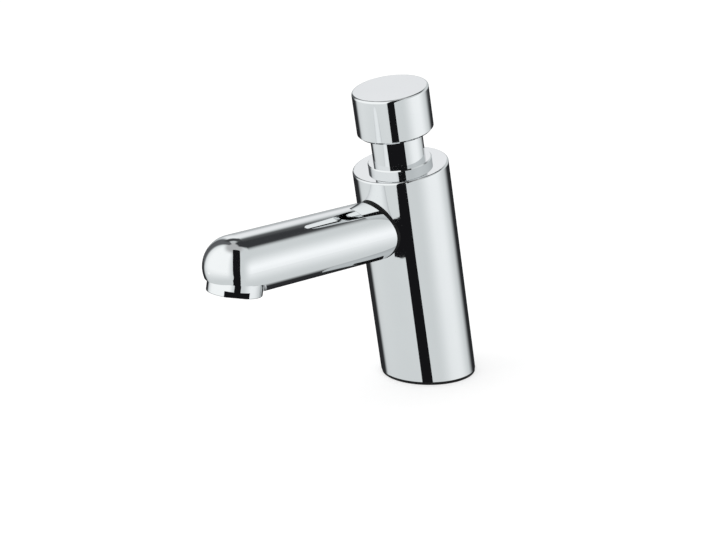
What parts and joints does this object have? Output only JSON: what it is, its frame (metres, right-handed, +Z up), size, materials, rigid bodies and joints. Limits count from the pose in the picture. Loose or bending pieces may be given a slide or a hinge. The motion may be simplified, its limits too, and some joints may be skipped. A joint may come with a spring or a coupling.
{
  "type": "push timed tap",
  "caption": "Leaning chromed pillar tap with a push cap, a level spout with a ball end and tilted aerator, and a dashpot cartridge that closes the valve after each press.",
  "frame": {"origin": "middle of the base on the deck plane, the underside of the base gasket", "axes": "+Z up, -Y towards the outlet of the spout, the plane X = 0 is the mirror plane"},
  "size_m": [0.048, 0.1658, 0.2077],
  "materials": {
    "chrome": "polished chrome plate on brass",
    "brass": "turned brass",
    "steel": "turned stainless steel",
    "rubber": "matt moulded rubber",
    "white_plastic": "moulded acetal",
    "grey_plastic": "moulded acetal"
  },
  "bodies": {
    "tap": {"body_casting": "chrome", "spout": "chrome", "saddle_gasket": "rubber", "spout_o_ring": "rubber", "aerator_shell": "chrome", "aerator_insert": "grey_plastic", "aerator_screen": "steel", "aerator_washer": "rubber", "bonnet": "chrome", "bonnet_o_ring": "rubber", "guide_bush": "white_plastic", "spindle_seal": "rubber", "wiper_seal": "rubber", "metering_needle": "steel", "cartridge_sleeve": "white_plastic", "sleeve_o_ring": "rubber", "valve_seat": "brass", "seat_o_ring": "rubber", "return_spring": "steel", "shank": "brass", "shank_o_ring": "rubber", "base_gasket": "rubber", "deck_washer": "rubber", "clamp_washer": "steel", "back_nut": "brass", "inlet_strainer": "white_plastic", "flow_regulator": "grey_plastic"},
    "plunger": {"push_cap": "chrome", "cap_grub_screw": "steel", "spindle": "steel", "piston": "grey_plastic", "piston_seal": "rubber", "piston_clip": "steel", "valve_holder": "brass", "valve_washer": "rubber", "holder_nut": "brass"}
  },
  "joints": [
    {"name": "cap_press", "type": "slide", "parent": "tap", "child": "plunger", "axis": [0, 0.1822, -0.9833], "range_m": [0, 0.008], "stiffness_N_per_m": 1500, "springref_m": -0.012, "deforming": ["return_spring"]}
  ]
}
